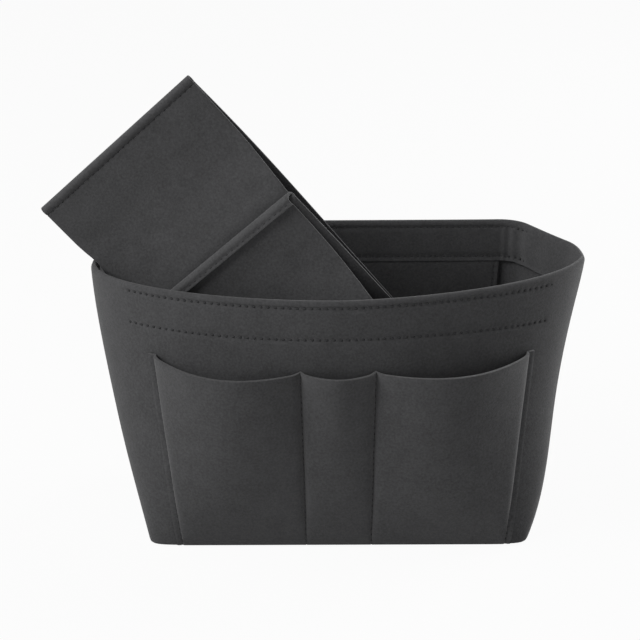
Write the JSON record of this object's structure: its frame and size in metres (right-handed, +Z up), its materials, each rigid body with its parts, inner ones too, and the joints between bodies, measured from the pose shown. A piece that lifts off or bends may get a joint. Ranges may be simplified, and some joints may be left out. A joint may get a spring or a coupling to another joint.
{
  "type": "purse organizer insert",
  "caption": "Open tapered felt insert for a handbag, with slip pockets outside and inside and folded felt dividers that lift out.",
  "frame": {"origin": "centre of the base panel's underside, between the two side seams", "axes": "+X along the insert's length to the right, +Y to the back, +Z up, front towards -Y"},
  "size_m": [0.3626, 0.1911, 0.3134],
  "materials": {
    "body_felt": "matt charcoal synthetic felt",
    "pocket_felt": "matt charcoal synthetic felt",
    "divider_felt": "matt charcoal synthetic felt"
  },
  "bodies": {
    "insert_body": {"base_panel": "body_felt", "front_wall": "body_felt", "back_wall": "body_felt", "front_pocket_strip": "pocket_felt", "back_pocket_strip": "pocket_felt", "front_inner_pocket": "pocket_felt", "back_inner_pocket": "pocket_felt"},
    "tall_divider": {"tall_divider_fold": "divider_felt", "tall_divider_back_leaf": "divider_felt"},
    "tall_front_leaf": {"tall_divider_front_leaf": "divider_felt"},
    "short_divider": {"short_divider_fold": "divider_felt", "short_divider_back_leaf": "divider_felt"},
    "short_front_leaf": {"short_divider_front_leaf": "divider_felt"}
  },
  "joints": [
    {"name": "tall_divider_lift", "type": "slide", "parent": "insert_body", "child": "tall_divider", "axis": [0, 0, 1], "range_m": [0, 0.2]},
    {"name": "tall_front_leaf_bend", "type": "hinge", "parent": "tall_divider", "child": "tall_front_leaf", "pos_m": [-0.19166, 0.00048, 0.21875], "axis": [0.7488, 0.0131, 0.6626], "range_deg": [-1.4, 7], "stiffness_Nm_per_rad": 0.05},
    {"name": "short_divider_lift", "type": "slide", "parent": "insert_body", "child": "short_divider", "axis": [0, 0, 1], "range_m": [0, 0.2]},
    {"name": "short_front_leaf_bend", "type": "hinge", "parent": "short_divider", "child": "short_front_leaf", "pos_m": [-0.13034, -0.03, 0.14906], "axis": [0.7604, 0, 0.6494], "range_deg": [-2.6, 5.5], "stiffness_Nm_per_rad": 0.05}
  ]
}
